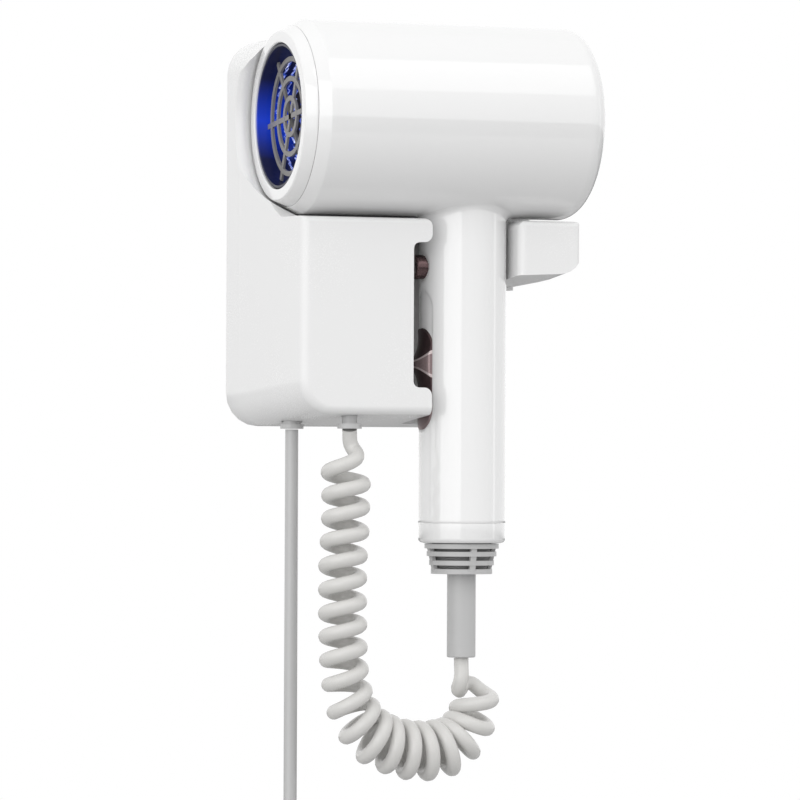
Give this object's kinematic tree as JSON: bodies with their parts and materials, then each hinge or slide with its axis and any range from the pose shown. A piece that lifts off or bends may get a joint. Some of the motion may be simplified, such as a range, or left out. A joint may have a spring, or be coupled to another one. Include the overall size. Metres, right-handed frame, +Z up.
{
  "type": "wall-mounted hair dryer",
  "caption": "Wall-mounted hair dryer resting in a moulded holder, with a barrel and upright handle, slide and push controls, a curly cord and a mains lead.",
  "frame": {"origin": "centre of the back plate's rear face, on the wall", "axes": "+Z up, +Y into the wall, +X to the right of someone facing the wall; the barrel lies along X with its outlet towards -X"},
  "size_m": [0.1333, 0.085, 0.4589],
  "materials": {
    "gloss_white_shell": "high-gloss white moulded plastic",
    "satin_white_housing": "satin to semi-gloss white moulded plastic",
    "natural_inner_plastic": "matte natural grey plastic",
    "grey_soft_plastic": "satin mid-grey plastic",
    "grille_grey_metal": "satin grey painted metal",
    "rose_bronze_metal": "brushed rose-bronze plated metal",
    "cord_jacket": "satin light warm grey cable jacket",
    "mains_jacket": "glossy light grey cable jacket",
    "blue_light_ring": "translucent blue light guide",
    "mica_sheet": "pressed mica sheet",
    "resistance_wire": "drawn resistance wire",
    "zinc_steel": "zinc-plated steel",
    "copper_winding": "enamelled copper winding",
    "circuit_board": "green laminate",
    "black_plastic": "matte black plastic",
    "black_rubber": "matte black rubber",
    "brass_pin": "plain brass"
  },
  "bodies": {
    "wall_unit": {"back_plate": "zinc_steel", "coil_tie": "black_plastic", "curly_cord": "cord_jacket", "curly_cord_clamp": "natural_inner_plastic", "curly_gland": "grey_soft_plastic", "mains_coil": "mains_jacket", "mains_cord_clamp": "natural_inner_plastic", "mains_gland": "grey_soft_plastic", "mains_lead": "mains_jacket", "mains_tail": "mains_jacket", "plate_screw_1": "zinc_steel", "plate_screw_2": "zinc_steel", "plate_screw_3": "zinc_steel", "plate_screw_4": "zinc_steel", "plug_body": "mains_jacket", "plug_pin_1": "brass_pin", "plug_pin_2": "brass_pin", "plug_strain_relief": "mains_jacket", "terminal_block": "natural_inner_plastic", "terminal_screw_1": "brass_pin", "terminal_screw_2": "brass_pin", "terminal_screw_3": "brass_pin", "wall_housing": "satin_white_housing"},
    "dryer": {"barrel_shell": "gloss_white_shell", "outlet_ring": "gloss_white_shell", "outlet_grille": "grille_grey_metal", "light_ring": "blue_light_ring", "heater_duct": "mica_sheet", "mica_cross": "mica_sheet", "heater_coil": "resistance_wire", "thermal_cutoff": "black_plastic", "thermal_fuse": "zinc_steel", "ion_module": "black_plastic", "handle_shell": "gloss_white_shell", "handle_end_ring": "gloss_white_shell", "inlet_grille": "grey_soft_plastic", "inlet_filter": "black_plastic", "strain_relief": "grey_soft_plastic", "motor_frame": "natural_inner_plastic", "motor_winding": "copper_winding", "motor_bearing": "zinc_steel", "motor_damper_1": "black_rubber", "motor_damper_2": "black_rubber", "control_board": "circuit_board", "slide_switch": "black_plastic", "button_switch": "black_plastic"},
    "cool_button": {"cool_button": "rose_bronze_metal"},
    "speed_slider": {"speed_slider": "rose_bronze_metal"},
    "rotor": {"motor_rotor": "zinc_steel", "impeller": "black_plastic"}
  },
  "joints": [
    {"name": "dryer_lift_off", "type": "slide", "parent": "wall_unit", "child": "dryer", "axis": [0, -0.9848, 0.1736], "range_m": [0, 0.12]},
    {"name": "cool_button_press", "type": "slide", "parent": "dryer", "child": "cool_button", "axis": [1, 0, 0], "range_m": [0, 0.0018], "stiffness_N_per_m": 600},
    {"name": "speed_slider_slide", "type": "slide", "parent": "dryer", "child": "speed_slider", "axis": [0, 0, 1], "range_m": [0, 0.015]},
    {"name": "rotor_spin", "type": "hinge", "parent": "dryer", "child": "rotor", "pos_m": [0.03, -0.046, -0.104], "axis": [0, 0, 1], "continuous": true}
  ]
}
